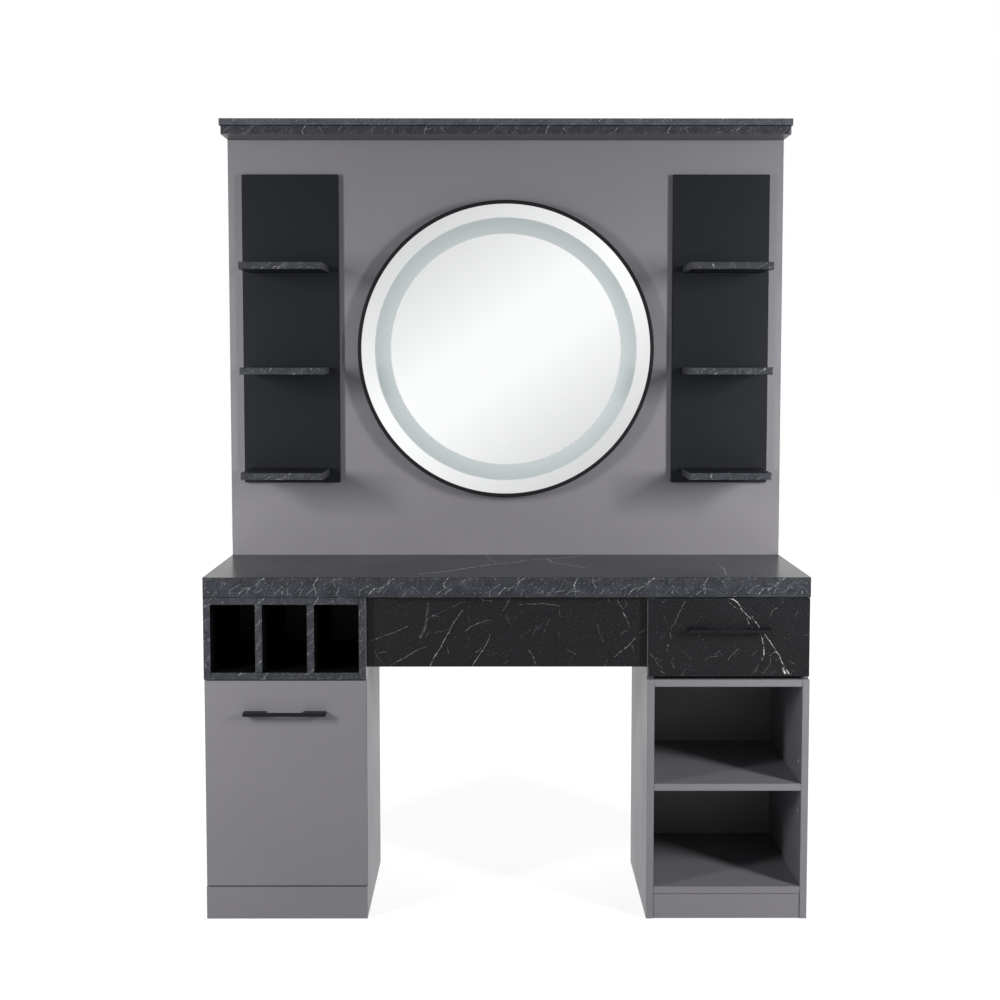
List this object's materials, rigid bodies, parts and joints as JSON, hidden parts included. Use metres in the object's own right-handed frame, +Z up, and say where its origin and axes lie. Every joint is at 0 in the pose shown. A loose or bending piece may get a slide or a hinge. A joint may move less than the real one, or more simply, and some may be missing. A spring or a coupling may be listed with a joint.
{
  "type": "salon styling station",
  "caption": "Salon styling station: a worktop on pedestals with a tool rack, drawer, pull-out towel bin and open cabinet, and a back panel with a round lit mirror, shelves and a cornice.",
  "frame": {"origin": "on the floor, under the middle of the overall box", "axes": "+Z up, -Y out of the front where the person stands, +X to the right seen from the front"},
  "size_m": [1.5076, 0.5658, 2.0247],
  "materials": {
    "grey_laminate": "board with a matt mid-grey laminate",
    "black_laminate": "board with a satin black laminate",
    "marble_laminate": "board with a dark marble-print laminate and edge band",
    "black_metal": "black powder coat",
    "zinc_steel": "zinc-plated sheet steel",
    "mirror_glass": "silvered glass with a frosted light ring",
    "led_light": "white light strip",
    "grey_plastic": "moulded grey housing",
    "box_board": "light grey foil-wrapped board"
  },
  "bodies": {
    "station": {"worktop": "marble_laminate", "apron": "marble_laminate", "rack_outer_side": "marble_laminate", "rack_inner_side": "marble_laminate", "rack_bottom": "marble_laminate", "rack_top": "marble_laminate", "rack_back": "black_laminate", "rack_divider_1": "marble_laminate", "rack_divider_2": "marble_laminate", "drawer_case_outer_side": "grey_laminate", "drawer_case_inner_side": "grey_laminate", "left_pedestal_outer_side": "grey_laminate", "left_pedestal_inner_side": "grey_laminate", "left_pedestal_bottom": "grey_laminate", "left_pedestal_back": "grey_laminate", "left_plinth": "grey_laminate", "right_pedestal_outer_side": "grey_laminate", "right_pedestal_inner_side": "grey_laminate", "right_pedestal_bottom": "grey_laminate", "right_pedestal_shelf": "grey_laminate", "right_pedestal_top": "grey_laminate", "right_pedestal_back": "grey_laminate", "right_plinth": "grey_laminate", "back_panel": "grey_laminate", "cornice_lower": "marble_laminate", "cornice_upper": "marble_laminate", "left_shelf_board": "black_laminate", "left_shelf_lower": "marble_laminate", "left_shelf_middle": "marble_laminate", "left_shelf_upper": "marble_laminate", "right_shelf_board": "black_laminate", "right_shelf_lower": "marble_laminate", "right_shelf_middle": "marble_laminate", "right_shelf_upper": "marble_laminate", "mirror_frame": "black_metal", "mirror_glass": "mirror_glass", "mirror_back_pan": "zinc_steel", "mirror_cleat": "zinc_steel", "led_strip": "led_light", "led_driver": "grey_plastic", "drawer_slide_left_cabinet_member": "zinc_steel", "drawer_slide_right_cabinet_member": "zinc_steel", "bin_slide_left_cabinet_member": "zinc_steel", "bin_slide_right_cabinet_member": "zinc_steel"},
    "drawer": {"drawer_front": "marble_laminate", "drawer_handle": "black_metal", "drawer_wrap": "box_board", "drawer_base": "box_board", "drawer_slide_left_box_member": "zinc_steel", "drawer_slide_right_box_member": "zinc_steel"},
    "drawer_slide_middles": {"drawer_slide_left_middle_member": "zinc_steel", "drawer_slide_right_middle_member": "zinc_steel"},
    "towel_bin": {"bin_front": "grey_laminate", "bin_handle": "black_metal", "bin_wrap": "box_board", "bin_base": "box_board", "bin_slide_left_box_member": "zinc_steel", "bin_slide_right_box_member": "zinc_steel"},
    "bin_slide_middles": {"bin_slide_left_middle_member": "zinc_steel", "bin_slide_right_middle_member": "zinc_steel"}
  },
  "joints": [
    {"name": "drawer_pull", "type": "slide", "parent": "station", "child": "drawer", "axis": [0, -1, 0], "range_m": [0, 0.4]},
    {"name": "drawer_slides_follow", "type": "slide", "parent": "station", "child": "drawer_slide_middles", "axis": [0, -1, 0], "range_m": [0, 0.2]},
    {"name": "bin_pull", "type": "slide", "parent": "station", "child": "towel_bin", "axis": [0, -1, 0], "range_m": [0, 0.4]},
    {"name": "bin_slides_follow", "type": "slide", "parent": "station", "child": "bin_slide_middles", "axis": [0, -1, 0], "range_m": [0, 0.2]}
  ],
  "couplings": [
    {"joint": "drawer_slides_follow", "follows": "drawer_pull", "ratio": 0.5},
    {"joint": "bin_slides_follow", "follows": "bin_pull", "ratio": 0.5}
  ]
}
